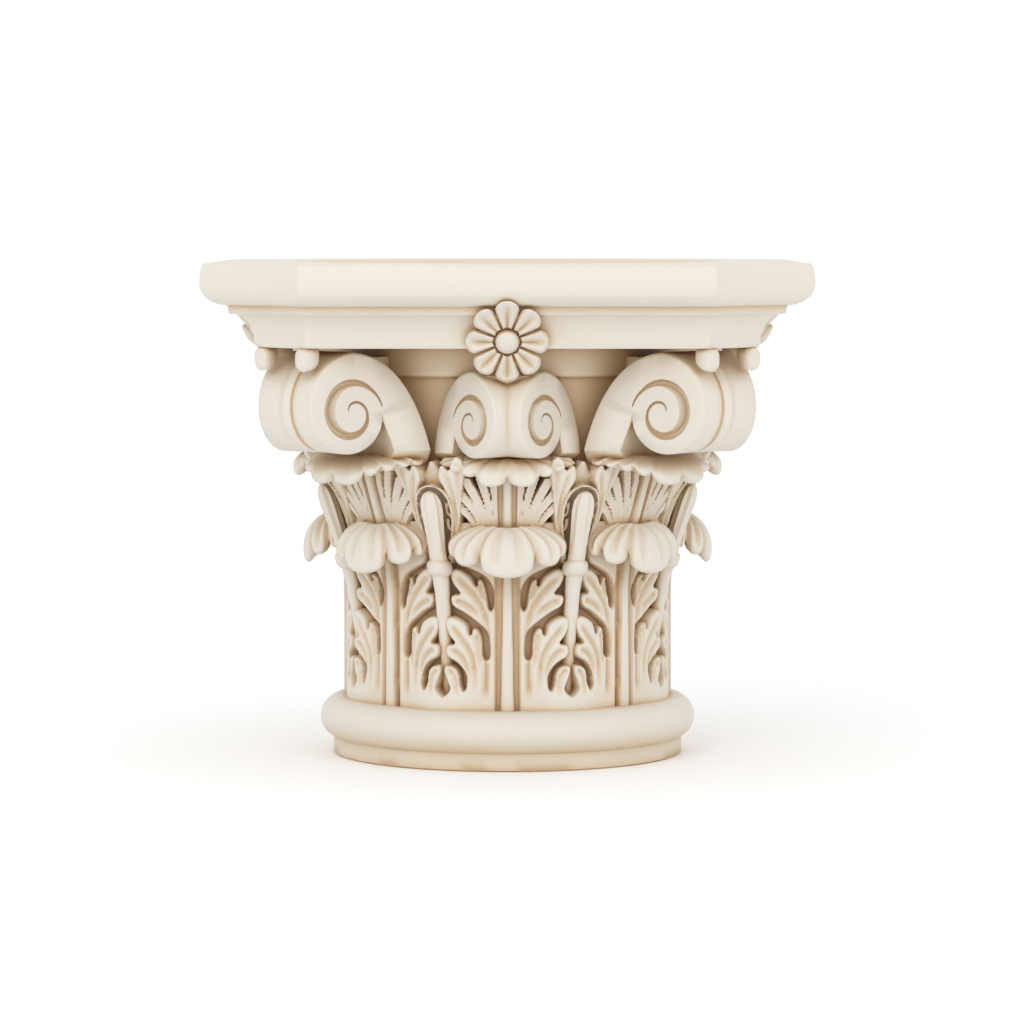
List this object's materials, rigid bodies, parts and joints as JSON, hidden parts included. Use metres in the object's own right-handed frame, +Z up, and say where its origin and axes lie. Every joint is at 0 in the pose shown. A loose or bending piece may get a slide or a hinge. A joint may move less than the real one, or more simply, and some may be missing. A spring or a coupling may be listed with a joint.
{
  "type": "corinthian capital",
  "caption": "Cast Corinthian capital with acanthus leaves, corner volutes, rosettes and a moulded abacus; crowns a round column or stands as a plinth",
  "frame": {"origin": "centre of the flat underside", "axes": "+Z up along the bell's axis, -Y towards the front face"},
  "size_m": [0.514, 0.514, 0.429],
  "materials": {
    "ivory_cast": "satin ivory coat with tan antique wash in the recesses"
  },
  "bodies": {
    "root": {"capital": "ivory_cast"}
  },
  "joints": []
}
